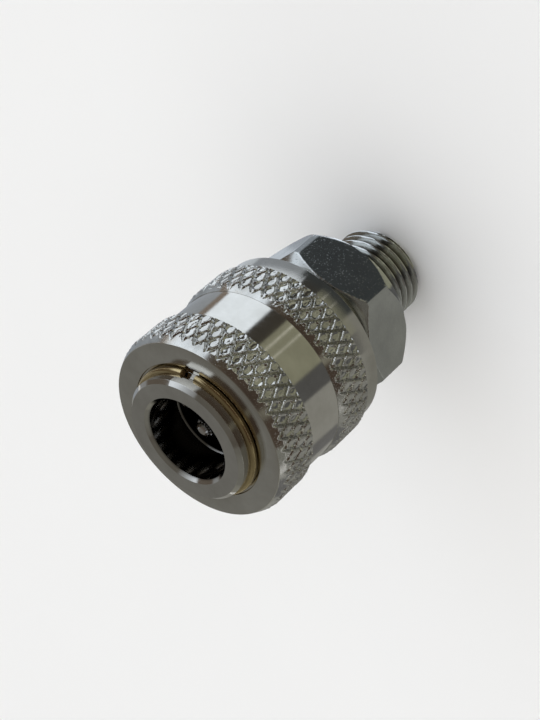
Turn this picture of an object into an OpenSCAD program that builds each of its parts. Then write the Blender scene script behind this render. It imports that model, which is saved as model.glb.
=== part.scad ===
// Ball-lock quick coupling, socket half, for liquid cooling lines
// Knurled pull-back sleeve, spring-loaded shut-off valve and a hexagon
// adapter with a G1/4 parallel male thread.
// Millimetres. +Z runs along the coupling axis, from the thread end (z = 0)
// to the mouth that takes the plug. +Y faces one hexagon flat.

/* [Adapter] */
// Major diameter of the G1/4 male thread
thread_d = 13.157; // [8:0.001:22]
// Length of the threaded end under the hexagon
thread_l = 9.9; // [6:0.1:16]
// End chamfer of the thread
thread_chamfer = 0.9; // [0.2:0.1:1.5]
// Diameter of the relief groove at the thread's root
relief_d = 11.4; // [7:0.1:20]
// Width of the relief groove
relief_w = 1.3; // [0.5:0.1:3]
// Diameter of the recess in the shoulder, around the thread
shoulder_recess_d = 14.4; // [13.4:0.1:18]
// Depth of that recess
shoulder_recess = 0.3; // [0.1:0.1:0.8]
// Hexagon size across flats
hex_af = 21; // [17:0.5:27]
// Turned diameter over the hexagon corners
hex_corner_d = 23.9; // [19:0.1:30]
// Height of the hexagon block
hex_l = 8.7; // [6:0.1:14]
// Height of the turned cone above the corners
hex_front_cone_l = 2.0; // [0.5:0.1:3]
// Slope of the upper cone against the face
hex_front_angle = 40; // [20:1:60]
// Height of the turned cone below the corners
hex_rear_cone_l = 2.1; // [0.5:0.1:3]
// Slope of the lower cone against the face
hex_rear_angle = 57; // [20:1:65]
// Diameter of the flow bore through the thread
flow_d = 7.8; // [5:0.1:9]
// Diameter of the spring bore in the adapter
spring_bore_d = 11.2; // [9:0.1:12]
// Depth of the spring bore below the body seat
spring_bore_depth = 4.1; // [2:0.1:6]
// Diameter of the spigot that enters the body
spigot_d = 16; // [14:0.1:17]
// Length of the spigot
spigot_l = 3.5; // [2.5:0.1:4]

/* [Body] */
// Length of the neck under the flange
neck_l = 1.8; // [1:0.1:4]
// Diameter of the neck
neck_d = 19.2; // [18:0.1:20]
// Thickness of the flange that carries the sleeve spring
flange_l = 3.0; // [1.5:0.1:4]
// Diameter of the flange
flange_d = 22.4; // [20:0.1:22.6]
// Length of the tube above the flange
tube_l = 20.6; // [18:0.1:26]
// Outer diameter of the tube
tube_d = 18; // [17:0.1:19]
// Chamfer on the outer edge of the mouth
nose_chamfer = 0.5; // [0.2:0.1:1]
// Diameter of the mouth bore for the plug
mouth_d = 12; // [11:0.1:13]
// Depth of the mouth bore
mouth_depth = 5.8; // [4:0.1:6]
// Diameter of the guide bore behind the mouth bore
guide_bore_d = 11.6; // [11:0.1:13]
// Depth of the guide bore's end below the mouth
guide_depth = 11.4; // [10:0.1:13]
// Chamfer on the inner edge of the mouth
mouth_chamfer = 0.47; // [0.2:0.01:1]
// Diameter of the sealing bore behind the guide bore
seal_bore_d = 10; // [8:0.1:11]
// Depth of the valve seat edge below the mouth
seat_depth = 16.3; // [15:0.1:18]
// Diameter of the valve chamber
chamber_d = 14.4; // [13:0.1:15]
// Clearance above the spigot's end in its socket
spigot_end_gap = 0.2; // [0.1:0.05:0.5]

/* [Sleeve] */
// Diameter over the knurl tips
sleeve_d = 27; // [25:0.1:32]
// Length of the sleeve
sleeve_l = 21.75; // [18:0.05:24]
// Travel of the sleeve towards the hexagon
sleeve_travel = 2.9; // [2:0.1:3]
// Diameter of the polished waist and rear rim
waist_d = 25.8; // [24:0.1:31]
// Depth of the recess that frames the snap ring
recess_depth = 0.3; // [0.1:0.1:1]
// Diameter of the recess
recess_d = 19.7; // [19.4:0.1:23]
// Diameter of the spring chamber
sleeve_bore_d = 22.8; // [22.6:0.1:24]
// Depth of the land that locks the balls, behind the ball plane
land_back = 3.8; // [3:0.1:5]
// Length of the lead-in cone on the front of each knurled band
lead_l = 1.4; // [0.3:0.1:2]
// Radial drop of the lead-in cone below the knurl tips
lead_drop = 0.65; // [0.3:0.05:1.5]
// Chamfer on the rear rim
rim_chamfer = 0.45; // [0.1:0.05:0.8]
// Length of the rear rim behind the knurl
rim_l = 3.25; // [1:0.05:6]

/* [Knurl] */
// Diamonds around the sleeve
knurl_count = 46; // [24:2:60]
// Helix angle of the knurl against the axis
knurl_angle = 29; // [20:1:45]
// Depth of the grooves below the tips
knurl_depth = 0.42; // [0.2:0.01:0.7]
// Depth of the dimple in each diamond
dimple_depth = 0.13; // [0.02:0.01:0.3]
// Length of the front band without its lead-in
front_band_l = 5.05; // [3:0.05:8]
// Length of the rear band without its lead-in
rear_band_l = 4.8; // [3:0.05:8]
// Turn of the rear band's pattern against the front band's
knurl_turn = 2.5; // [0:0.1:8]

/* [Balls] */
// Number of locking balls
ball_count = 8; // [8]
// Ball diameter
ball_d = 4; // [3:0.05:5]
// Distance of the ball plane from the mouth
ball_setback = 8.2; // [7:0.1:9]
// How far a locked ball stands into the guide bore
ball_reach = 0.78; // [0.5:0.01:1.4]
// Outward travel of a ball
ball_travel = 1.0; // [0.5:0.05:1.3]

/* [Snap ring] */
// Wire diameter
ring_wire = 1.1; // [0.8:0.05:1.4]
// Distance of the wire's centre from the mouth
ring_setback = 2.25; // [1.5:0.05:3]
// Width of the ring's gap in degrees
ring_gap = 13; // [5:1:40]
// Direction of the ring's gap
ring_gap_at = -10.5; // [-180:0.5:180]

/* [Springs] */
// Wire diameter of the sleeve spring
sleeve_wire = 1.2; // [0.8:0.05:1.5]
// Turns of the sleeve spring
sleeve_turns = 3.5; // [3:0.25:6]
// Wire diameter of the valve spring
valve_wire = 0.7; // [0.5:0.05:1]
// Turns of the valve spring
valve_turns = 6; // [4:0.5:9]

/* [Valve] */
// Diameter of the poppet's head
head_d = 12.4; // [11:0.1:13]
// Diameter of the poppet's nose
nose_d = 6.4; // [5:0.1:8]
// How far the nose stands in front of the seat edge
nose_l = 3.1; // [1:0.1:5]
// Total thickness of the head, cone included
head_l = 2.3; // [2:0.1:3]
// Diameter of the hub that centres the spring
hub_d = 6.4; // [5:0.1:7]
// Length of the hub
hub_l = 1.0; // [0.5:0.1:2]
// Diameter of the stem
stem_d = 2.5; // [1.5:0.1:4]
// Thickness of the guide disc
guide_l = 1.5; // [1:0.1:2.5]
// Width of the guide's arms
guide_arm = 1.3; // [0.8:0.1:2]
// Arms of the guide
guide_arms = 4; // [3:1:5]

/* [Seals] */
// Cord of the plug seal
plug_cord = 1.6; // [1.2:0.05:2]
// Cord of the valve seal
valve_cord = 1.2; // [0.8:0.05:1.4]
// Cord of the adapter seal
adapter_cord = 1.2; // [0.8:0.05:1.4]

/* [Fits] */
// Radial clearance of sliding and turning fits
slide_gap = 0.03; // [0.01:0.01:0.1]
// Gap left between parts that rest on each other
touch_gap = 0.01; // [0:0.005:0.02]

/* [Hidden] */
$fn = 96;
eps = 0.01;

// Adapter heights
z_shoulder = thread_l;
z_seat = z_shoulder + hex_l;
z_spigot = z_seat + spigot_l;
z_ledge = z_seat - spring_bore_depth;
hex_r = hex_af / 2;
hex_corner_r = hex_corner_d / 2;
z_corner_low = z_shoulder + hex_rear_cone_l;
z_corner_high = z_seat - hex_front_cone_l;
cone_low_r = hex_corner_r - hex_rear_cone_l / tan(hex_rear_angle);
cone_high_r = hex_corner_r - hex_front_cone_l / tan(hex_front_angle);
spigot_r = spigot_d / 2;
ledge_w = 0.6;

// Body heights, counted down from the mouth
z_flange = z_seat + neck_l;
z_spring_seat = z_flange + flange_l;
z_mouth = z_spring_seat + tube_l;
z_ring = z_mouth - ring_setback;
z_ball = z_mouth - ball_setback;
z_mouth_end = z_mouth - mouth_depth;
z_guide_end = z_mouth - guide_depth;
z_valve_edge = z_mouth - seat_depth;
tube_r = tube_d / 2;
mouth_r = mouth_d / 2;
guide_bore_r = guide_bore_d / 2;
seal_r = seal_bore_d / 2;
chamber_r = chamber_d / 2;
z_chamber_top = z_valve_edge - (chamber_r - seal_r);
z_socket = z_spigot + spigot_end_gap;

// Balls and the cam inside the sleeve
ball_r = ball_d / 2;
ball_rest = guide_bore_r - ball_reach + ball_r;
hole_r = ball_r + slide_gap;
hole_lip_r = ball_r * 0.885;
hole_lip_at = ball_rest - sqrt(ball_r * ball_r - hole_lip_r * hole_lip_r) - 0.03;
cam_slope = ball_travel / sleeve_travel;
cam_angle = atan(cam_slope);
land_r = tube_r + slide_gap;
cam_lead = (ball_rest + (ball_r + 0.018) / cos(cam_angle) - land_r) / cam_slope;
z_cam_low = z_ball - cam_lead;
cam_r = ball_rest + ball_travel + ball_r + 0.08;
z_cam_high = z_cam_low + (cam_r - land_r) / cam_slope;
ball_out = ball_rest + ball_travel;
ball_chord = sqrt(ball_r * ball_r - (land_r - ball_out) * (land_r - ball_out));
z_relief = z_ball + sleeve_travel + ball_chord + 0.06;
z_land = z_ball - land_back;

// Snap ring
wire_r = ring_wire / 2;
ring_r = tube_r + 0.05;
ring_groove_r = ring_r - wire_r - touch_gap;

// Sleeve
z_stop = z_ring - wire_r - touch_gap;
z_face = z_stop + recess_depth;
z_rear = z_face - sleeve_l;
sleeve_r = sleeve_d / 2;
waist_r = waist_d / 2;
root_r = sleeve_r - knurl_depth;
z_front_low = z_face - lead_l - front_band_l;
z_rear_low = z_rear + rim_l;
z_rear_high = z_rear_low + rear_band_l;
waist_lead_l = lead_l * (sleeve_r - waist_r) / lead_drop;
band_edge = 0.2;
band_in_r = waist_r - 0.4;
sleeve_bore_r = sleeve_bore_d / 2;

// Knurl
knurl_pitch = 2 * PI * sleeve_r / knurl_count;
knurl_row = knurl_pitch / 2 / tan(knurl_angle);
knurl_rim = 0.74;

// Valve
head_r = head_d / 2;
cone_gap = 0.15;
z_head_low = z_valve_edge - head_l;
z_nose = z_valve_edge + nose_l;
z_hub = z_head_low - hub_l;
z_guide_low = z_ledge + touch_gap;
z_guide_high = z_guide_low + guide_l;
z_stem = z_guide_low - 0.2;
hub_r = hub_d / 2;
stem_r = stem_d / 2;
valve_coil_r = hub_r + slide_gap + valve_wire / 2 + 0.03;
sleeve_coil_r = (tube_r + sleeve_bore_r) / 2;

// Seals: groove height, groove bottom radius
plug_groove_w = plug_cord * 1.2;
plug_groove_r = seal_r + plug_cord * 0.8;
z_plug_groove = z_valve_edge + 1.4;
valve_groove_w = valve_cord * 0.85;
z_valve_groove = z_valve_edge - 0.45;
valve_seal_r = seal_r + z_valve_edge - z_valve_groove + valve_groove_w / 2
    - (valve_cord / 2 - 0.06) * sqrt(2);
valve_groove_r = valve_seal_r - valve_cord / 2 - touch_gap;
adapter_groove_w = adapter_cord * 1.15;
adapter_groove_r = spigot_r - adapter_cord * 0.92;
z_adapter_groove = z_spigot - 0.7;

// Ring cut out by turning a rectangle, from r0 to r1 and z0 to z1
module band(r0, r1, z0, z1) {
    rotate_extrude()
        translate([r0, z0])
            square([r1 - r0, z1 - z0]);
}

// ---------------------------------------------------------------- adapter
module hex_block() {
    intersection() {
        translate([0, 0, z_shoulder])
            cylinder(h = hex_l, r = hex_r / cos(30), $fn = 6);
        rotate_extrude()
            polygon([[0, z_shoulder], [cone_low_r, z_shoulder],
                     [hex_corner_r, z_corner_low], [hex_corner_r, z_corner_high],
                     [cone_high_r, z_seat], [0, z_seat]]);
    }
}

module adapter() {
    color([0.78, 0.79, 0.78])
    difference() {
        union() {
            hex_block();
            rotate_extrude()
                polygon([[0, 0], [thread_d / 2 - thread_chamfer, 0],
                         [thread_d / 2, thread_chamfer],
                         [thread_d / 2, z_shoulder - relief_w],
                         [relief_d / 2, z_shoulder - relief_w * 0.6],
                         [relief_d / 2, z_shoulder + eps], [0, z_shoulder + eps]]);
            rotate_extrude()
                polygon([[0, z_seat - eps], [spigot_r, z_seat - eps],
                         [spigot_r, z_spigot - 0.3], [spigot_r - 0.3, z_spigot],
                         [0, z_spigot]]);
        }
        rotate_extrude()
            polygon([[0, -1], [flow_d / 2 + 0.4, -1], [flow_d / 2 + 0.4, 0],
                     [flow_d / 2, 0.4],
                     [flow_d / 2, z_ledge - (spring_bore_d - flow_d) / 2 + ledge_w],
                     [spring_bore_d / 2 - ledge_w, z_ledge],
                     [spring_bore_d / 2, z_ledge], [spring_bore_d / 2, z_spigot + 1],
                     [0, z_spigot + 1]]);
        band(adapter_groove_r, spigot_r + 1,
             z_adapter_groove - adapter_groove_w, z_adapter_groove);
        band(relief_d / 2, shoulder_recess_d / 2, z_shoulder - eps,
             z_shoulder + shoulder_recess);
    }
}

// O-ring whose cord is flattened by its groove; r_in and r_out bound the section
module o_ring(cord, r_mid, z_mid, r_in, r_out) {
    rotate_extrude()
        intersection() {
            translate([r_mid, z_mid])
                circle(d = cord, $fn = 32);
            translate([r_in, z_mid - cord])
                square([r_out - r_in, 2 * cord]);
        }
}

module adapter_seal() {
    color([0.12, 0.12, 0.12])
        o_ring(adapter_cord, (adapter_groove_r + spigot_r + slide_gap) / 2,
               z_adapter_groove - adapter_groove_w / 2,
               adapter_groove_r + touch_gap, spigot_r + slide_gap - touch_gap);
}

// ---------------------------------------------------------------- body
module ball_hole(k) {
    rotate([0, 0, k * 360 / ball_count])
        translate([0, 0, z_ball])
            rotate([0, 90, 0]) {
                translate([0, 0, hole_lip_at + 0.12])
                    cylinder(h = tube_r, r = hole_r, $fn = 48);
                translate([0, 0, hole_lip_at])
                    cylinder(h = 0.12 + eps, r1 = hole_lip_r, r2 = hole_r, $fn = 48);
                translate([0, 0, seal_r / 2])
                    cylinder(h = hole_lip_at, r = hole_lip_r, $fn = 48);
            }
}

module socket_body() {
    color([0.74, 0.73, 0.7])
    difference() {
        rotate_extrude()
            polygon([[0, z_seat + touch_gap], [neck_d / 2, z_seat + touch_gap],
                     [neck_d / 2, z_flange], [flange_d / 2 - 0.3, z_flange],
                     [flange_d / 2, z_flange + 0.3],
                     [flange_d / 2, z_spring_seat - 0.3],
                     [flange_d / 2 - 0.3, z_spring_seat],
                     [tube_r, z_spring_seat], [tube_r, z_mouth - nose_chamfer],
                     [tube_r - nose_chamfer, z_mouth], [0, z_mouth]]);
        rotate_extrude()
            polygon([[0, z_seat - 1], [spigot_r + slide_gap, z_seat - 1],
                     [spigot_r + slide_gap, z_socket], [chamber_r, z_socket],
                     [chamber_r, z_chamber_top], [seal_r, z_valve_edge],
                     [seal_r, z_guide_end - (guide_bore_r - seal_r)],
                     [guide_bore_r, z_guide_end],
                     [guide_bore_r, z_mouth_end - (mouth_r - guide_bore_r)],
                     [mouth_r, z_mouth_end], [mouth_r, z_mouth - mouth_chamfer],
                     [mouth_r + mouth_chamfer, z_mouth],
                     [mouth_r + mouth_chamfer, z_mouth + 1], [0, z_mouth + 1]]);
        band(seal_r - 1, plug_groove_r, z_plug_groove, z_plug_groove + plug_groove_w);
        band(ring_groove_r, tube_r + 1, z_ring - wire_r - touch_gap,
             z_ring + wire_r + touch_gap);
        for (k = [0 : ball_count - 1])
            ball_hole(k);
    }
}

module plug_seal() {
    color([0.1, 0.1, 0.1])
        o_ring(plug_cord, plug_groove_r - plug_cord / 2 + 0.03,
               z_plug_groove + plug_groove_w / 2, seal_r - plug_cord,
               plug_groove_r - touch_gap);
}

module snap_ring() {
    color([0.75, 0.6, 0.32])
        rotate([0, 0, ring_gap_at + ring_gap / 2])
            rotate_extrude(angle = 360 - ring_gap)
                translate([ring_r, z_ring])
                    circle(r = wire_r, $fn = 32);
}

// ---------------------------------------------------------------- balls
module ball(k) {
    color([0.85, 0.85, 0.86])
        rotate([0, 0, k * 360 / ball_count])
            translate([ball_rest, 0, z_ball])
                rotate_extrude()
                    intersection() {
                        circle(r = ball_r, $fn = 64);
                        translate([0, -ball_r])
                            square([ball_r, ball_d]);
                    }
}

module ball_1() { ball(0); }
module ball_2() { ball(1); }
module ball_3() { ball(2); }
module ball_4() { ball(3); }
module ball_5() { ball(4); }
module ball_6() { ball(5); }
module ball_7() { ball(6); }
module ball_8() { ball(7); }

// ---------------------------------------------------------------- sleeve
function ring_point(r, a, z) = [r * cos(a), r * sin(a), z];

// Closed ring of dimpled diamonds with groove crossings knurl_row apart;
// every second row is turned by half a pitch
module knurl_ring(z0, rows, turn) {
    n = knurl_count;
    step = 360 / n;
    function at(j, i) = j * n + (i % n);
    cross = [for (j = [0 : rows], i = [0 : n - 1])
        ring_point(root_r, turn + (i + (j % 2) / 2) * step, z0 + j * knurl_row)];
    cells = [for (j = [1 : rows - 1], i = [0 : n - 1])
        let (a = turn + (i + 0.5 + (j % 2) / 2) * step, z = z0 + j * knurl_row,
             da = step / 2 * knurl_rim, dz = knurl_row * knurl_rim)
        each [ring_point(sleeve_r, a - da, z), ring_point(sleeve_r, a, z - dz),
              ring_point(sleeve_r, a + da, z), ring_point(sleeve_r, a, z + dz),
              ring_point(sleeve_r - dimple_depth, a, z)]];
    inner = [for (j = [0, rows], i = [0 : n - 1])
        ring_point(band_in_r - 0.2, turn + (i + (j % 2) / 2) * step, z0 + j * knurl_row)];
    n_in = len(cross) + len(cells);
    function in0(i) = n_in + (i % n);
    function in1(i) = n_in + n + (i % n);
    faces_cells = [for (j = [1 : rows - 1], i = [0 : n - 1])
        let (c = len(cross) + ((j - 1) * n + i) * 5, o = j % 2,
             left = at(j, i), right = at(j, i + 1),
             low = at(j - 1, i + o), high = at(j + 1, i + o))
        each [[left, c, low], [c, c + 1, low], [low, c + 1, right],
              [c + 1, c + 2, right], [right, c + 2, high], [c + 2, c + 3, high],
              [high, c + 3, left], [c + 3, c, left],
              [c, c + 4, c + 1], [c + 1, c + 4, c + 2],
              [c + 2, c + 4, c + 3], [c + 3, c + 4, c]]];
    faces_ends = [for (i = [0 : n - 1])
        each [[at(0, i), at(1, i), at(0, i + 1)],
              [at(rows, i), at(rows, i + 1), at(rows - 1, i + (rows % 2))],
              [at(0, i), at(0, i + 1), in0(i)],
              [in0(i), at(0, i + 1), in0(i + 1)],
              [at(rows, i), in1(i), at(rows, i + 1)],
              [in1(i), in1(i + 1), at(rows, i + 1)],
              [in0(i), in0(i + 1), in1(i)],
              [in0(i + 1), in1(i + 1), in1(i)]]];
    polyhedron(points = concat(cross, cells, inner),
               faces = concat(faces_cells, faces_ends), convexity = 6);
}

// Knurled band between z_low and z_high; the lead-in cone above z_high
// runs down by drop and cuts the diamonds ragged
module knurl_band(z_low, z_high, lead, drop, turn) {
    rows = ceil((z_high + lead - z_low) / knurl_row) + 3;
    intersection() {
        knurl_ring(z_low - knurl_row * 1.55, rows, turn);
        rotate_extrude()
            polygon([[band_in_r, z_low], [sleeve_r - band_edge, z_low],
                     [sleeve_r + 0.1, z_low + band_edge + 0.1],
                     [sleeve_r + 0.1, z_high - 0.1 * lead / drop],
                     [sleeve_r - drop, z_high + lead],
                     [band_in_r, z_high + lead]]);
    }
}

module sleeve() {
    color([0.72, 0.7, 0.66])
    difference() {
        union() {
            rotate_extrude()
                polygon([[land_r - 0.5, z_rear], [waist_r - rim_chamfer, z_rear],
                         [waist_r, z_rear + rim_chamfer],
                         [waist_r, z_face - lead_l],
                         [band_in_r + 0.1, z_face], [land_r - 0.5, z_face]]);
            knurl_band(z_front_low, z_face - lead_l, lead_l, lead_drop, 0);
            knurl_band(z_rear_low, z_rear_high, waist_lead_l,
                       sleeve_r - waist_r, knurl_turn);
        }
        rotate_extrude()
            polygon([[0, z_rear - 1], [sleeve_bore_r + rim_chamfer, z_rear - 1],
                     [sleeve_bore_r + rim_chamfer, z_rear],
                     [sleeve_bore_r, z_rear + rim_chamfer],
                     [sleeve_bore_r, z_land], [land_r, z_land],
                     [land_r, z_cam_low], [cam_r, z_cam_high],
                     [cam_r, z_relief], [land_r, z_relief], [land_r, z_stop],
                     [recess_d / 2, z_stop], [recess_d / 2, z_face + 1],
                     [0, z_face + 1]]);
    }
}

// ---------------------------------------------------------------- springs
// Height of the coil's centre line after t turns: closed ends, open middle
function coil_z(t, turns, wire, h) =
    let (closed = 0.75, p = wire * 1.03,
         mid = (h - 2 * closed * p) / (turns - 2 * closed))
    t < closed ? t * p :
    t < turns - closed ? closed * p + (t - closed) * mid :
    h - (turns - t) * p;

module coil(r, wire, turns, z0, z1, sides, segs) {
    n = round(turns * segs);
    pts = [for (i = [0 : n])
        let (t = i * turns / n, a = t * 360,
             z = z0 + wire / 2 + coil_z(t, turns, wire, z1 - z0 - wire))
        for (k = [0 : sides - 1])
            let (b = 360 * k / sides, q = r + wire / 2 * cos(b))
            [q * cos(a), q * sin(a), z + wire / 2 * sin(b)]];
    tube = [for (i = [0 : n - 1], k = [0 : sides - 1])
        let (k2 = (k + 1) % sides, a = i * sides, b = a + sides)
        each [[a + k, a + k2, b + k2], [a + k, b + k2, b + k]]];
    first = [for (k = [sides - 1 : -1 : 0]) k];
    last = [for (k = [0 : sides - 1]) n * sides + k];
    polyhedron(points = pts, faces = concat([first], tube, [last]), convexity = 10);
}

module sleeve_spring() {
    color([0.6, 0.6, 0.62])
        coil(sleeve_coil_r, sleeve_wire, sleeve_turns, z_spring_seat + touch_gap,
             z_land - touch_gap, 8, 20);
}

module valve_spring() {
    color([0.6, 0.6, 0.62])
        coil(valve_coil_r, valve_wire, valve_turns, z_guide_high + touch_gap,
             z_head_low - touch_gap, 6, 16);
}

// ---------------------------------------------------------------- valve
module valve_poppet() {
    nose_r = nose_d / 2;
    edge_r = seal_r - cone_gap;
    color([0.8, 0.68, 0.4])
    difference() {
        rotate_extrude()
            polygon([[0, z_nose], [nose_r - 0.3, z_nose], [nose_r, z_nose - 0.3],
                     [nose_r, z_valve_edge + 0.3], [edge_r - 0.3, z_valve_edge + 0.3],
                     [head_r, z_valve_edge - (head_r - edge_r)],
                     [head_r, z_head_low], [hub_r, z_head_low], [hub_r, z_hub],
                     [stem_r, z_hub], [stem_r, z_stem + 0.3],
                     [stem_r - 0.3, z_stem], [0, z_stem]]);
        band(valve_groove_r, head_r + 1, z_valve_groove - valve_groove_w, z_valve_groove);
    }
}

module valve_seal() {
    z_mid = z_valve_groove - valve_groove_w / 2;
    color([0.1, 0.1, 0.1])
        rotate_extrude()
            intersection() {
                translate([valve_seal_r, z_mid])
                    circle(d = valve_cord, $fn = 32);
                polygon([[valve_groove_r + touch_gap, z_valve_groove - touch_gap],
                         [valve_groove_r + touch_gap,
                          z_valve_groove - valve_groove_w + touch_gap],
                         [seal_r + z_valve_edge - z_valve_groove + valve_groove_w
                          - 3 * touch_gap,
                          z_valve_groove - valve_groove_w + touch_gap],
                         [seal_r + z_valve_edge - z_valve_groove - touch_gap,
                          z_valve_groove - touch_gap]]);
            }
}

module valve_guide() {
    window_in = stem_r + 1.0;
    window_out = flow_d / 2 + 0.6;
    color([0.8, 0.68, 0.4])
    difference() {
        band(stem_r + slide_gap, spring_bore_d / 2 - slide_gap, z_guide_low, z_guide_high);
        difference() {
            band(window_in, window_out, z_guide_low - 1, z_guide_high + 1);
            for (k = [0 : guide_arms - 1])
                rotate([0, 0, k * 360 / guide_arms])
                    translate([0, -guide_arm / 2, z_guide_low - 2])
                        cube([window_out + 1, guide_arm, guide_l + 4]);
        }
    }
}

adapter();
adapter_seal();
socket_body();
plug_seal();
snap_ring();
valve_poppet();
valve_seal();
valve_guide();
valve_spring();
sleeve();
sleeve_spring();
ball_1();
ball_2();
ball_3();
ball_4();
ball_5();
ball_6();
ball_7();
ball_8();
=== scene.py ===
import math

import bmesh
import bpy
import numpy as np
from mathutils import Matrix, Vector


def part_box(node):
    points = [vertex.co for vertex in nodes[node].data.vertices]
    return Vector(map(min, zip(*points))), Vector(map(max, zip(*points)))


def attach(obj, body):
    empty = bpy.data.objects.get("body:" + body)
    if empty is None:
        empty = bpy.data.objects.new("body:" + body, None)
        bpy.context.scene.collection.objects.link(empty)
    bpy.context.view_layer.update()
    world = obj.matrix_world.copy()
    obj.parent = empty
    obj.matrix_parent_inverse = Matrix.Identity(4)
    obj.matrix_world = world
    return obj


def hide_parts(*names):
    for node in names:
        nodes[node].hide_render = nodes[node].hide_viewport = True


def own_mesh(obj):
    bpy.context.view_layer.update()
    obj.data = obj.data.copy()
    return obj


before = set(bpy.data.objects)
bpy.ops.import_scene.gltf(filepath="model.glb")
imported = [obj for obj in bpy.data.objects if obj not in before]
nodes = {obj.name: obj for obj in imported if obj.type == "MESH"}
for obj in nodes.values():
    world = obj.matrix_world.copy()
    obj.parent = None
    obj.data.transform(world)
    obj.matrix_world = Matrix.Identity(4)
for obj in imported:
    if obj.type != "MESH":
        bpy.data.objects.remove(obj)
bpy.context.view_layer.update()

MM = 0.001
scene = bpy.context.scene


def span(node):
    """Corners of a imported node's box, in millimetres."""
    lo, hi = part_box(node)
    return [v / MM for v in lo], [v / MM for v in hi]


# Heights in millimetres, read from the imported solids
Z_FACE = span("sleeve")[1][2]
Z_REAR = span("sleeve")[0][2]
Z_SEAT = span("socket_body")[0][2]
Z_SPIGOT = span("adapter")[1][2]

# ------------------------------------------------------------------ camera
cam_data = bpy.data.cameras.new("camera")
cam_data.sensor_fit = "VERTICAL"
cam_data.sensor_height = 36.0
cam_data.lens = 85.0
cam_data.clip_start = 0.01
cam_data.clip_end = 20.0
camera = bpy.data.objects.new("camera", cam_data)
scene.collection.objects.link(camera)
camera.matrix_world = Matrix((
    (-0.202797, 0.829185, 0.520890, 0.116489),
    (-0.774867, 0.189351, -0.603098, -0.133930),
    (-0.598711, -0.525927, 0.604108, 0.160053),
    (0.0, 0.0, 0.0, 1.0)))
scene.camera = camera


# ------------------------------------------------------------------ mesh help
def new_object(name, verts, faces, material, smooth_angle):
    """Mesh object in metres, welded, smooth but for edges over the angle in degrees."""
    mesh = bpy.data.meshes.new(name)
    mesh.from_pydata([tuple(v) for v in verts], [], [tuple(f) for f in faces])
    mesh.validate()
    mesh.update()
    bm = bmesh.new()
    bm.from_mesh(mesh)
    bmesh.ops.remove_doubles(bm, verts=bm.verts, dist=2e-6)
    bmesh.ops.recalc_face_normals(bm, faces=bm.faces)
    bm.to_mesh(mesh)
    bm.free()
    for p in mesh.polygons:
        p.use_smooth = True
    mesh.set_sharp_from_angle(angle=math.radians(smooth_angle))
    mesh.materials.append(material)
    obj = bpy.data.objects.new(name, mesh)
    scene.collection.objects.link(obj)
    return obj


def lathe(profile, n, closed=False):
    """Profile [(r, z)] in mm turned round Z in n steps; returns verts, faces."""
    verts = []
    faces = []
    for r, z in profile:
        for i in range(n):
            a = 2 * math.pi * i / n
            verts.append((r * math.cos(a) * MM, r * math.sin(a) * MM, z * MM))
    rings = len(profile)
    for j in range(rings if closed else rings - 1):
        below = j * n
        above = (j + 1) % rings * n
        for i in range(n):
            k = (i + 1) % n
            faces.append((below + i, below + k, above + k, above + i))
    return verts, faces


def grid(r_of, n, z_list):
    """Open turned sheet with radius r_of(angle, z) in mm."""
    a = np.arange(n) * 2 * np.pi / n
    verts, faces = [], []
    for z in z_list:
        r = r_of(a, z)
        x, y = r * np.cos(a) * MM, r * np.sin(a) * MM
        verts += [(float(p), float(q), z * MM) for p, q in zip(x, y)]
    for j in range(len(z_list) - 1):
        for i in range(n):
            k = (i + 1) % n
            faces.append((j * n + i, j * n + k, (j + 1) * n + k, (j + 1) * n + i))
    return verts, faces


def merge(parts):
    """Joins several (verts, faces) sheets into one."""
    verts, faces = [], []
    for v, f in parts:
        off = len(verts)
        verts += list(v)
        faces += [tuple(i + off for i in q) for q in f]
    return verts, faces


def rounded(profile, radius, steps=3):
    """Rounds the corners of a closed profile [(r, z, share of the radius, 0 for sharp)]."""
    out = []
    n = len(profile)
    for i in range(n):
        p = np.array(profile[i][:2], float)
        share = profile[i][2]
        if share <= 0:
            out.append(tuple(p))
            continue
        a = np.array(profile[i - 1][:2], float) - p
        b = np.array(profile[(i + 1) % n][:2], float) - p
        la, lb = np.linalg.norm(a), np.linalg.norm(b)
        a, b = a / la, b / lb
        turn = math.acos(max(-1.0, min(1.0, float(a @ b))))
        if math.pi - turn < 0.12:
            out.append(tuple(p))
            continue
        d = min(radius * share / math.tan(turn / 2), la * 0.45, lb * 0.45)
        for s in range(steps + 1):
            t = s / steps
            q = (1 - t) ** 2 * (p + a * d) + 2 * t * (1 - t) * p + t * t * (p + b * d)
            out.append(tuple(q))
    return out


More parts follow.
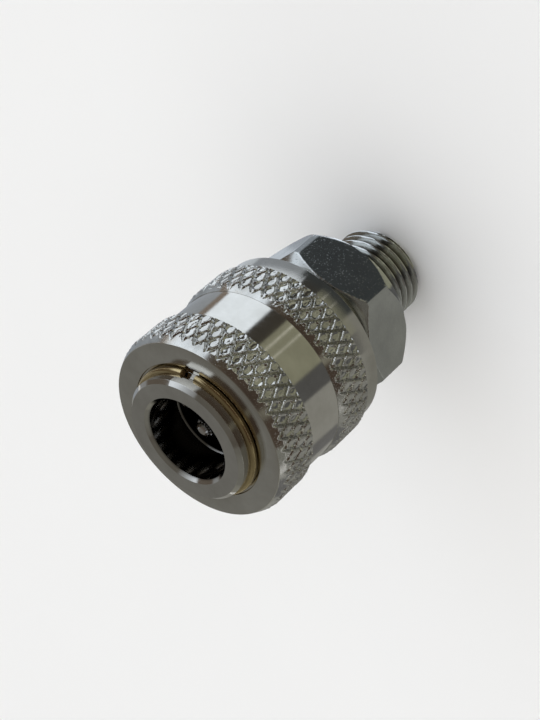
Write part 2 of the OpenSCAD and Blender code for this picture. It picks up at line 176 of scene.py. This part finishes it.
# ------------------------------------------------------------------ materials
class Mat:
    """Small builder for procedural metal and rubber materials."""

    def __init__(self, name):
        self.mat = bpy.data.materials.new(name)
        self.mat.use_nodes = True
        self.tree = self.mat.node_tree
        self.tree.nodes.clear()
        self.out = self.add("ShaderNodeOutputMaterial")
        self.bsdf = self.add("ShaderNodeBsdfPrincipled")
        self.link(self.bsdf.outputs[0], self.out.inputs[0])
        self.coord = self.add("ShaderNodeTexCoord").outputs["Object"]

    def add(self, kind, **props):
        node = self.tree.nodes.new(kind)
        for key, value in props.items():
            setattr(node, key, value)
        return node

    def link(self, a, b):
        self.tree.links.new(a, b)

    def feed(self, node, index, value):
        if isinstance(value, (int, float, tuple, list)):
            node.inputs[index].default_value = value
        else:
            self.link(value, node.inputs[index])

    def math(self, op, a, b=0.0):
        node = self.add("ShaderNodeMath", operation=op)
        self.feed(node, 0, a)
        self.feed(node, 1, b)
        return node.outputs[0]

    def scaled(self, x, y, z):
        node = self.add("ShaderNodeVectorMath", operation="MULTIPLY")
        self.link(self.coord, node.inputs[0])
        node.inputs[1].default_value = (x, y, z)
        return node.outputs[0]

    def noise(self, vector, scale, detail=3.0, rough=0.5):
        node = self.add("ShaderNodeTexNoise")
        self.link(vector, node.inputs["Vector"])
        node.inputs["Scale"].default_value = scale
        node.inputs["Detail"].default_value = detail
        node.inputs["Roughness"].default_value = rough
        return node.outputs[0]

    def span(self, value, lo, hi, a, b):
        node = self.add("ShaderNodeMapRange")
        self.feed(node, 0, value)
        for k, v in zip((1, 2, 3, 4), (lo, hi, a, b)):
            node.inputs[k].default_value = v
        return node.outputs[0]

    def mix(self, fac, a, b):
        node = self.add("ShaderNodeMix", data_type="RGBA")
        self.feed(node, 0, fac)
        self.feed(node, 6, a)
        self.feed(node, 7, b)
        return node.outputs[2]

    def split(self):
        node = self.add("ShaderNodeSeparateXYZ")
        self.link(self.coord, node.inputs[0])
        return node.outputs

    def radius(self):
        x, y, _ = self.split()
        return self.math("SQRT", self.math("ADD", self.math("MULTIPLY", x, x),
                                           self.math("MULTIPLY", y, y)))

    def bump(self, height, strength, distance, normal=None):
        node = self.add("ShaderNodeBump")
        node.inputs["Strength"].default_value = strength
        node.inputs["Distance"].default_value = distance
        self.link(height, node.inputs["Height"])
        if normal is not None:
            self.link(normal, node.inputs["Normal"])
        return node.outputs[0]

    def bevel(self, radius):
        node = self.add("ShaderNodeBevel", samples=4)
        node.inputs[0].default_value = radius
        return node.outputs[0]


# Pitch of the turning marks, in metres
TURNED_PITCH = 0.00012


def metal(name, base, dark, rough, turned=0.0, speck=0.0, painted_shade=None, edge=0.00008):
    """Cloudy plated metal: turning marks, pits, and painted shade within a radius as (from, to,
    colour).
    """
    m = Mat(name)
    b = m.bsdf
    b.inputs["Metallic"].default_value = 1.0
    clouds = m.noise(m.coord, 260.0, 4.0, 0.6)
    fine = m.noise(m.coord, 2600.0, 2.0, 0.5)
    colour = m.mix(m.span(clouds, 0.3, 0.75, 0.0, 1.0), base, dark)
    _, _, z = m.split()
    rad = m.radius()
    # Painted shade: within the given radius the colour turns to a dark colour, standing in for shade
    # in bores and grooves.
    if painted_shade is not None:
        low, high, shade_colour = painted_shade
        colour = m.mix(m.span(rad, low, high, 1.0, 0.0), colour, shade_colour)
    m.link(colour, b.inputs["Base Color"])
    streak = m.noise(m.scaled(90.0, 90.0, 9000.0), 1.0, 2.0, 0.6)
    r = m.math("ADD", m.span(clouds, 0.25, 0.8, rough[0], rough[1]),
               m.span(streak, 0.35, 0.7, 0.0, 0.03))
    m.link(m.math("ADD", r, m.span(fine, 0.6, 0.8, 0.0, 0.05)), b.inputs["Roughness"])
    normal = m.bevel(edge)
    if turned > 0:
        rings = m.math("SINE", m.math("MULTIPLY", m.math("ADD", z, rad),
                                      2 * math.pi / TURNED_PITCH))
        wander = m.math("ADD", rings, m.math("MULTIPLY", streak, 2.0))
        normal = m.bump(wander, turned, 0.000004, normal)
    normal = m.bump(m.noise(m.coord, 900.0, 3.0, 0.6), 0.06, 0.00004, normal)
    if speck > 0:
        pits = m.span(m.noise(m.coord, 5200.0, 1.0, 0.4), 0.68, 0.76, 0.0, 1.0)
        normal = m.bump(pits, speck, 0.00003, normal)
    m.link(normal, b.inputs["Normal"])
    return m.mat


def rubber(name):
    """Matt black rubber with a fine grain."""
    m = Mat(name)
    b = m.bsdf
    grain = m.noise(m.coord, 3000.0, 3.0, 0.6)
    m.link(m.mix(m.span(grain, 0.3, 0.7, 0.0, 1.0), (0.012, 0.012, 0.012, 1),
                 (0.03, 0.03, 0.028, 1)), b.inputs["Base Color"])
    m.link(m.span(grain, 0.3, 0.7, 0.35, 0.6), b.inputs["Roughness"])
    m.link(m.bump(grain, 0.15, 0.00002), b.inputs["Normal"])
    return m.mat


M_SLEEVE = metal("nickel_sleeve", (0.70, 0.68, 0.63, 1), (0.58, 0.56, 0.51, 1), (0.06, 0.12),
                 turned=0.18)
M_KNURL = metal("nickel_knurl", (0.72, 0.71, 0.67, 1), (0.42, 0.41, 0.38, 1), (0.08, 0.18),
                speck=0.25, edge=0.00004)
# Painted shade: the body's bore, within a radius of 5.8 to 6.2 mm, is painted near black.
M_BODY = metal("nickel_body", (0.66, 0.64, 0.60, 1), (0.54, 0.52, 0.48, 1), (0.06, 0.12),
               turned=0.12, painted_shade=(0.0058, 0.0062, (0.05, 0.045, 0.04, 1)))
M_HEX = metal("nickel_hex", (0.66, 0.67, 0.65, 1), (0.53, 0.54, 0.53, 1), (0.10, 0.18),
              speck=0.4)
# Painted shade: the thread darkens towards its roots, within a radius of 5.85 to 6.4 mm.
M_THREAD = metal("nickel_thread", (0.72, 0.73, 0.71, 1), (0.56, 0.57, 0.56, 1), (0.09, 0.17),
                 speck=0.2, edge=0.00003, painted_shade=(0.00585, 0.00640, (0.20, 0.18, 0.15, 1)))
M_RING = metal("ring_brass", (0.62, 0.49, 0.27, 1), (0.42, 0.33, 0.18, 1), (0.12, 0.22))
# Painted shade: the valve's brass is given a very dark colour for the shade deep in the body.
M_SHADED_BRASS = metal("valve_brass", (0.20, 0.16, 0.09, 1), (0.13, 0.10, 0.06, 1), (0.30, 0.42),
                turned=0.2)
M_WIRE = metal("spring_steel", (0.60, 0.60, 0.62, 1), (0.48, 0.48, 0.50, 1), (0.22, 0.32))
M_BALL = metal("ball_steel", (0.80, 0.80, 0.81, 1), (0.74, 0.74, 0.75, 1), (0.08, 0.14))
M_RUBBER = rubber("seal_rubber")

# ------------------------------------------------------------------ sleeve
# Radii and lengths in millimetres
SLEEVE_R = 13.5
WAIST_R = 12.9
KNURL_DEEP = 0.42
ROOT_R = SLEEVE_R - KNURL_DEEP
# Cone that leads into each band from the mouth's side
LEAD_L = 1.4
LEAD_DROP = 0.65
FRONT_BAND_L = 5.05
REAR_BAND_L = 4.8
RIM_L = 3.25
RIM_CHAMFER = 0.45
BAND_EDGE = 0.2
# The band ends this far under the face, and the core lies this far under the roots
BAND_SHY = 0.12
CORE_SHY = 0.02
# The core's own cones start this far over the rear band and this far under the face
REAR_CONE = 0.4
FRONT_CONE = 0.55
SKIRT_DEEP = 0.3
FRONT_LOW = Z_FACE - LEAD_L - FRONT_BAND_L
REAR_LOW = Z_REAR + RIM_L
REAR_HIGH = REAR_LOW + REAR_BAND_L
WAIST_LEAD = LEAD_L * (SLEEVE_R - WAIST_R) / LEAD_DROP
# Inside of the sleeve: recess for the snap ring, cam over the balls, land and spring chamber
RECESS_R = 9.85
RECESS_L = 0.3
LAND_R = 9.03
CAM_R = 10.1
CHAMBER_R = 11.4
Z_LIP = 40.486
Z_CAM_HIGH = 38.54
Z_CAM_LOW = 35.44
Z_LAND = 32.0
CORE_EDGE_R = 0.09
CORE_TURN = 256
# Knurl: diamonds round the sleeve, their angle, and the relief of each, which varies a little
KNURL_N = 46
KNURL_ANGLE = 29
KNURL_ROW = math.pi * SLEEVE_R / KNURL_N / math.tan(math.radians(KNURL_ANGLE))
KNURL_START = 1.55
KNURL_STEPS = 15
KNURL_RISE = 0.095
REAR_TURN = 2.5
FLANK_SHARE = 0.27
FLANK_CURVE = 0.9
PIT_DEEP = 0.17
PIT_DEEP_VARIES = 0.04
PIT_REACH = 0.60
PIT_REACH_VARIES = 0.05
PIT_STEEP = 2.2
CROWN_HIGH = 0.03
CROWN_REACH = 0.35
CELLS = 64
rng = np.random.default_rng(7)
DENT = rng.normal(0.0, 1.0, (CELLS, CELLS))


def knurl_radius(a, z, z0, turn):
    """Radius of the knurled surface: V grooves, soft rims and a dimple in each diamond."""
    x = (a - math.radians(turn)) * KNURL_N / (2 * math.pi)
    w = (z - z0) / (2 * KNURL_ROW)
    u, v = x + w, x - w
    du = np.abs(u - np.floor(u) - 0.5) * 2
    dv = np.abs(v - np.floor(v) - 0.5) * 2
    dent = DENT[np.floor(u).astype(int) % CELLS, np.floor(v).astype(int) % CELLS]
    flank = np.clip((1.0 - np.maximum(du, dv)) / FLANK_SHARE, 0, 1)
    rim = SLEEVE_R - KNURL_DEEP * (1 - flank ** FLANK_CURVE)
    reach = np.sqrt(((du ** 2 + dv ** 2) / 2))
    pit = np.clip(1 - reach / (PIT_REACH + PIT_REACH_VARIES * dent), 0, 1)
    pit = np.clip(pit * PIT_STEEP, 0, 1)
    pit = pit * pit * (3 - 2 * pit)
    crown = CROWN_HIGH * np.clip(CROWN_REACH - reach, 0, 1) / CROWN_REACH
    return rim - (PIT_DEEP + PIT_DEEP_VARIES * dent) * pit + crown


def band(z_low, z_high, lead, drop, turn):
    """Knurled shell with its lead-in cone, closed towards the core by two flat rings."""
    z0 = z_low - KNURL_ROW * KNURL_START
    z_end = z_high + lead - BAND_SHY
    zs = list(np.arange(z_low, z_end - 0.02, KNURL_RISE)) + [z_end]
    n = KNURL_N * KNURL_STEPS

    def r_of(a, z):
        r = knurl_radius(a, z, z0, turn)
        if z > z_high:
            r = np.minimum(r, SLEEVE_R - drop * (z - z_high) / lead)
        edge = z - z_low
        if edge < BAND_EDGE:
            r = np.minimum(r, SLEEVE_R - BAND_EDGE + edge)
        return r

    verts, faces = grid(r_of, n, zs)
    last = len(verts) - n
    inner = len(verts)
    verts += grid(lambda a, z: np.full(len(a), WAIST_R - SKIRT_DEEP), n, [z_low, z_end])[0]
    for i in range(n):
        k = (i + 1) % n
        faces.append((i, inner + i, inner + k, k))
        faces.append((last + i, last + k, inner + n + k, inner + n + i))
    return verts, faces


def sleeve_core():
    """Section (r, z, share of the edge radius) of the sleeve under its two bands."""
    under = ROOT_R - CORE_SHY
    return [
        (CHAMBER_R + RIM_CHAMFER, Z_REAR, 1), (WAIST_R - RIM_CHAMFER, Z_REAR, 1),
        (WAIST_R, Z_REAR + RIM_CHAMFER, 1),
        (WAIST_R, REAR_LOW, 0), (under, REAR_LOW, 0),
        (under, REAR_HIGH + REAR_CONE, 0), (WAIST_R, REAR_HIGH + WAIST_LEAD, 1),
        (WAIST_R, FRONT_LOW, 0), (under, FRONT_LOW, 0),
        (under, Z_FACE - FRONT_CONE, 0), (SLEEVE_R - LEAD_DROP, Z_FACE, 1.2),
        (RECESS_R, Z_FACE, 1), (RECESS_R, Z_FACE - RECESS_L, 0.5),
        (LAND_R, Z_FACE - RECESS_L, 1), (LAND_R, Z_LIP, 0.5), (CAM_R, Z_LIP, 0.5),
        (CAM_R, Z_CAM_HIGH, 0), (LAND_R, Z_CAM_LOW, 0), (LAND_R, Z_LAND, 1),
        (CHAMBER_R, Z_LAND, 0.5), (CHAMBER_R, Z_REAR + RIM_CHAMFER, 0.5)]


core_v, core_f = lathe(rounded(sleeve_core(), CORE_EDGE_R), CORE_TURN, closed=True)
skin = new_object("sleeve_skin", core_v, core_f, M_SLEEVE, 28)
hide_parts("sleeve")
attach(skin, "sleeve")
for name, args in (("knurl_front", (FRONT_LOW, Z_FACE - LEAD_L, LEAD_L, LEAD_DROP, 0.0)),
                   ("knurl_rear", (REAR_LOW, REAR_HIGH, WAIST_LEAD, SLEEVE_R - WAIST_R, REAR_TURN))):
    verts, faces = band(*args)
    piece = new_object(name, verts, faces, M_KNURL, 34)
    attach(piece, "sleeve")

# ------------------------------------------------------------------ adapter
# Radii and lengths in millimetres
HEX_R = 10.5
CORNER_R = 11.95
CONE_LOW_R = 10.586
CONE_LOW_L = 2.1
CONE_HIGH_R = 9.567
CONE_HIGH_L = 2.0
CONE_STEPS = 22
FLAT_STEPS = 6
HEX_L = 8.7
TOUCH_GAP = 0.01
Z_SHOULDER = Z_SEAT - TOUCH_GAP - HEX_L
Z_HEX_TOP = Z_SHOULDER + HEX_L
THREAD_R = 6.5785
THREAD_DEEP = 0.856
THREAD_FLAT = 0.12
THREAD_ROUND = 0.35
THREAD_RISE = 0.075
PITCH = 1.337
END_CHAMFER = 0.9
END_FACE_R = 5.679
RUNOUT_L = 0.9
RELIEF_R = 5.7
RELIEF_L = 1.3
RELIEF_FLAT = 0.78
FLOW_R = 3.9
FLOW_CHAMFER = 0.4
Z_FLOW_TOP = 13.4
LEDGE_R = 5.0
SPRING_BORE_R = 5.6
Z_LEDGE = 14.5
SPIGOT_R = 8.0
SPIGOT_CHAMFER = 0.3
SEAL_GROOVE_R = 6.896
SEAL_GROOVE_TOP = 0.7
SEAL_GROOVE_L = 1.38
FINE_TURN = 360
ROUND_TURN = 160


def hexagon(a, cos):
    """Radius of the hexagon at angle a; cos is the cosine of the module that a comes from."""
    return HEX_R / cos((a % (math.pi / 3)) - math.pi / 6)


def hex_block():
    """Hexagon with turned cones: rings of points, each the smaller of hexagon and cone."""
    z_low = Z_SHOULDER + CONE_LOW_L
    z_high = Z_HEX_TOP - CONE_HIGH_L
    cone_z = [Z_SHOULDER, z_low, z_high, Z_HEX_TOP]
    cone_r = [CONE_LOW_R, CORNER_R, CORNER_R, CONE_HIGH_R]
    zs = sorted(set(list(np.linspace(Z_SHOULDER, z_low, CONE_STEPS))
                    + list(np.linspace(z_low, z_high, FLAT_STEPS))
                    + list(np.linspace(z_high, Z_HEX_TOP, CONE_STEPS))))
    return grid(lambda a, z: np.minimum(hexagon(a, np.cos), np.interp(z, cone_z, cone_r)),
                FINE_TURN, zs)


def thread_sheet():
    """Right-hand thread with its end chamfer, running out into the relief."""
    z_top = Z_SHOULDER - RELIEF_L
    zs = list(np.arange(0.0, z_top, THREAD_RISE)) + [z_top]

    def r_of(a, z):
        phase = (z / PITCH - a / (2 * math.pi)) % 1.0
        rise = (np.abs(phase - 0.5) * 2 - THREAD_FLAT) / (1 - 2 * THREAD_FLAT)
        rise = np.clip(rise, 0, 1)
        shape = rise * rise * (3 - 2 * rise) * THREAD_ROUND + rise * (1 - THREAD_ROUND)
        deep = THREAD_DEEP * (1 - shape)
        run = np.clip((z_top - z) / RUNOUT_L, 0, 1)
        return np.minimum(THREAD_R - deep * run, THREAD_R - END_CHAMFER + min(z, END_CHAMFER))

    return grid(r_of, ROUND_TURN, zs)


def adapter_parts():
    """Bores, spigot, relief and end faces round the hexagon block."""
    z_groove = Z_SPIGOT - SEAL_GROOVE_TOP
    inner = lathe([(END_FACE_R, 0.0), (FLOW_R + FLOW_CHAMFER, 0.0), (FLOW_R, FLOW_CHAMFER),
                   (FLOW_R, Z_FLOW_TOP), (LEDGE_R, Z_LEDGE), (SPRING_BORE_R, Z_LEDGE),
                   (SPRING_BORE_R, Z_SPIGOT)], ROUND_TURN)
    outer = lathe([(SPIGOT_R - SPIGOT_CHAMFER, Z_SPIGOT), (SPIGOT_R, Z_SPIGOT - SPIGOT_CHAMFER),
                   (SPIGOT_R, z_groove), (SEAL_GROOVE_R, z_groove),
                   (SEAL_GROOVE_R, z_groove - SEAL_GROOVE_L),
                   (SPIGOT_R, z_groove - SEAL_GROOVE_L), (SPIGOT_R, Z_HEX_TOP)], ROUND_TURN)
    low = lathe([(THREAD_R, Z_SHOULDER - RELIEF_L), (RELIEF_R, Z_SHOULDER - RELIEF_FLAT),
                 (RELIEF_R, Z_SHOULDER)], ROUND_TURN)
    top = lathe([(SPIGOT_R, Z_HEX_TOP), (CONE_HIGH_R, Z_HEX_TOP)], FINE_TURN)
    bottom = lathe([(RELIEF_R, Z_SHOULDER), (CONE_LOW_R, Z_SHOULDER)], FINE_TURN)
    # the outer rim of the bottom face follows the hexagon
    for i in range(FINE_TURN):
        a = 2 * math.pi * i / FINE_TURN
        r = min(hexagon(a, math.cos), CONE_LOW_R) * MM
        bottom[0][FINE_TURN + i] = (r * math.cos(a), r * math.sin(a), Z_SHOULDER * MM)
    return merge([inner, outer, low, top, bottom, hex_block()])


verts, faces = adapter_parts()
adapter_skin = new_object("adapter_skin", verts, faces, M_HEX, 22)
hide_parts("adapter")
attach(adapter_skin, "housing")
verts, faces = thread_sheet()
thread = new_object("male_thread", verts, faces, M_THREAD, 40)
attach(thread, "housing")

# ------------------------------------------------------------------ springs
# Copies of the coils, each attached to its body: (node, body, joint, travel in mm)
for node, body, joint, travel in (("sleeve_spring", "spring_stage", "sleeve_slide", 2.9),
                                  ("valve_spring", "housing", "valve_slide", 3.0)):
    coil = nodes[node].copy()
    coil.data = nodes[node].data.copy()
    coil.name = node + "_coil"
    coil.data.name = coil.name
    coil.parent = None
    coil.matrix_world = nodes[node].matrix_world.copy()
    coil.data.materials.clear()
    coil.data.materials.append(M_WIRE)
    scene.collection.objects.link(coil)
    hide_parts(node)
    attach(coil, body)
    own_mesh(coil)

# ------------------------------------------------------------------ CAD nodes
LOOK = {"socket_body": M_BODY, "snap_ring": M_RING,
        "valve_poppet": M_SHADED_BRASS, "valve_guide": M_SHADED_BRASS,
        "adapter_seal": M_RUBBER, "plug_seal": M_RUBBER, "valve_seal": M_RUBBER}
for name, obj in nodes.items():
    look = LOOK.get(name) or (M_BALL if name.startswith("ball_") else None)
    if look is not None:
        obj.data.materials.clear()
        obj.data.materials.append(look)

# ------------------------------------------------------------------ studio
FLOOR_R = 4.0
CARD_R = 0.9
FLOOR_Z = -0.0002
CARD_Z = -0.0001


def stage_disc(name, radius, z, material):
    """Flat round sheet in metres that belongs to the studio."""
    n = 96
    turn = [2 * math.pi * i / n for i in range(n)]
    verts = [(radius * math.cos(a), radius * math.sin(a), z) for a in turn]
    mesh = bpy.data.meshes.new(name)
    mesh.from_pydata(verts, [], [tuple(range(n))])
    mesh.materials.append(material)
    obj = bpy.data.objects.new(name, mesh)
    scene.collection.objects.link(obj)
    return obj


paper = Mat("floor_paper")
paper.bsdf.inputs["Roughness"].default_value = 0.9
paper.bsdf.inputs["Specular IOR Level"].default_value = 0.0
paper.link(paper.mix(paper.span(paper.noise(paper.coord, 30.0), 0.3, 0.7, 0.0, 1.0),
                     (0.862, 0.862, 0.862, 1), (0.856, 0.856, 0.856, 1)),
           paper.bsdf.inputs["Base Color"])
stage_disc("floor", FLOOR_R, FLOOR_Z, paper.mat)


def sectors(tree, vector, stops, soft):
    """Colours round the compass, and the height; stops are (from angle in degrees, colour)."""
    sep = tree.nodes.new("ShaderNodeSeparateXYZ")
    tree.links.new(vector, sep.inputs[0])
    turn = tree.nodes.new("ShaderNodeMath")
    turn.operation = "ARCTAN2"
    tree.links.new(sep.outputs[1], turn.inputs[0])
    tree.links.new(sep.outputs[0], turn.inputs[1])
    to = tree.nodes.new("ShaderNodeMapRange")
    to.inputs[1].default_value = -math.pi
    to.inputs[2].default_value = math.pi
    tree.links.new(turn.outputs[0], to.inputs[0])
    ramp = tree.nodes.new("ShaderNodeValToRGB")
    tree.links.new(to.outputs[0], ramp.inputs[0])
    marks = []
    for k, (at, colour) in enumerate(stops):
        if k:
            marks.append((at - soft, stops[k - 1][1]))
        marks.append((at + (soft if k else 0), colour))
    els = ramp.color_ramp.elements
    while len(els) < len(marks):
        els.new(0.5)
    for el, (at, colour) in zip(els, marks):
        el.position = min(1.0, max(0.0, (at + 180.0) / 360.0))
    for el, (at, colour) in zip(els, marks):
        el.color = tuple(colour) + (1.0,)
    return ramp.outputs[0], sep.outputs[2]


# Cards round the object, seen only in its reflections: a pale window, dark and buff boards
GREY = (0.30, 0.30, 0.28)
WINDOW = (1.05, 1.15, 1.28)
BROWN = (0.055, 0.050, 0.042)
BUFF = (0.27, 0.27, 0.20)
LINE = (0.75, 0.75, 0.66)
CARD = [(-180, (0.16, 0.16, 0.16)), (-156, GREY), (-102, (0.10, 0.10, 0.10)), (-79, BUFF),
        (-46, LINE), (-44.8, BUFF), (-34.3, LINE),
        (-33.1, BUFF), (-26, BROWN), (-6.4, WINDOW),
        (47.4, (0.24, 0.20, 0.17)), (56.5, (0.34, 0.37, 0.41)), (110, GREY)]
CARD_NEAR = [(-180, (0.22, 0.22, 0.20)), (-110, (0.24, 0.24, 0.22)),
             (-62, (0.045, 0.050, 0.052)), (0, (0.30, 0.33, 0.37)), (60, (0.55, 0.60, 0.66)),
             (110, GREY)]
card_mat = bpy.data.materials.new("card")
card_mat.use_nodes = True
card_tree = card_mat.node_tree
card_tree.nodes.clear()
card_out = card_tree.nodes.new("ShaderNodeOutputMaterial")
card_glow = card_tree.nodes.new("ShaderNodeEmission")
card_coord = card_tree.nodes.new("ShaderNodeTexCoord")
far, _ = sectors(card_tree, card_coord.outputs["Object"], CARD, 0.35)
near, _ = sectors(card_tree, card_coord.outputs["Object"], CARD_NEAR, 2.0)
away = card_tree.nodes.new("ShaderNodeVectorMath")
away.operation = "LENGTH"
card_tree.links.new(card_coord.outputs["Object"], away.inputs[0])
reach = card_tree.nodes.new("ShaderNodeMapRange")
reach.inputs[2].default_value = 0.1
card_tree.links.new(away.outputs["Value"], reach.inputs[0])
step = card_tree.nodes.new("ShaderNodeValToRGB")
card_tree.links.new(reach.outputs[0], step.inputs[0])
for k, (at, grey) in enumerate(((0.185, 1), (0.195, 0), (0.36, 0), (0.39, 1))):
    el = step.color_ramp.elements[k] if k < 2 else step.color_ramp.elements.new(at)
    el.position = at
    el.color = (grey, grey, grey, 1)
pick = card_tree.nodes.new("ShaderNodeMix")
pick.data_type = "RGBA"
card_tree.links.new(step.outputs[0], pick.inputs[0])
card_tree.links.new(near, pick.inputs[6])
card_tree.links.new(far, pick.inputs[7])
card_tree.links.new(pick.outputs[2], card_glow.inputs[0])
card_tree.links.new(card_glow.outputs[0], card_out.inputs[0])
card = stage_disc("card", CARD_R, CARD_Z, card_mat)
card.visible_camera = False
card.visible_diffuse = False
card.visible_shadow = False
card.visible_transmission = False

world = bpy.data.worlds.new("studio")
scene.world = world
world.use_nodes = True
sky_tree = world.node_tree
sky_tree.nodes.clear()
sky_out = sky_tree.nodes.new("ShaderNodeOutputWorld")
sky_light = sky_tree.nodes.new("ShaderNodeBackground")
sky_coord = sky_tree.nodes.new("ShaderNodeTexCoord")
DARK = (0.075, 0.055, 0.042)
SKY = [(-180, (0.20, 0.20, 0.18)), (-120, DARK), (-86, (0.22, 0.21, 0.17)), (-76, DARK),
       (-20, (0.10, 0.08, 0.06)), (2, WINDOW), (50, (0.14, 0.12, 0.10)),
       (84, (0.30, 0.31, 0.32)), (108, (0.20, 0.20, 0.19)), (150, (0.26, 0.26, 0.23))]
ring, height = sectors(sky_tree, sky_coord.outputs["Generated"], SKY, 2.0)
up = sky_tree.nodes.new("ShaderNodeValToRGB")
sky_tree.links.new(height, up.inputs[0])
up.color_ramp.elements[0].position = 0.55
up.color_ramp.elements[0].color = (0, 0, 0, 1)
up.color_ramp.elements[1].position = 0.80
up.color_ramp.elements[1].color = (1, 1, 1, 1)
blend = sky_tree.nodes.new("ShaderNodeMix")
blend.data_type = "RGBA"
sky_tree.links.new(up.outputs[0], blend.inputs[0])
sky_tree.links.new(ring, blend.inputs[6])
blend.inputs[7].default_value = (0.135, 0.128, 0.112, 1)
sky_tree.links.new(blend.outputs[2], sky_light.inputs[0])
sky_tree.links.new(sky_light.outputs[0], sky_out.inputs[0])

for name, aim, energy in (("key", (0.45, -0.30, 1.0), 1.5), ("fill", (-0.5, 0.35, 1.0), 1.5)):
    lamp = bpy.data.lights.new(name, "SUN")
    lamp.energy = energy
    lamp.angle = math.radians(100)
    sun = bpy.data.objects.new(name, lamp)
    scene.collection.objects.link(sun)
    sun.rotation_euler = Vector(aim).to_track_quat("Z", "Y").to_euler()
    sun.visible_glossy = False

scene.view_settings.view_transform = "Standard"
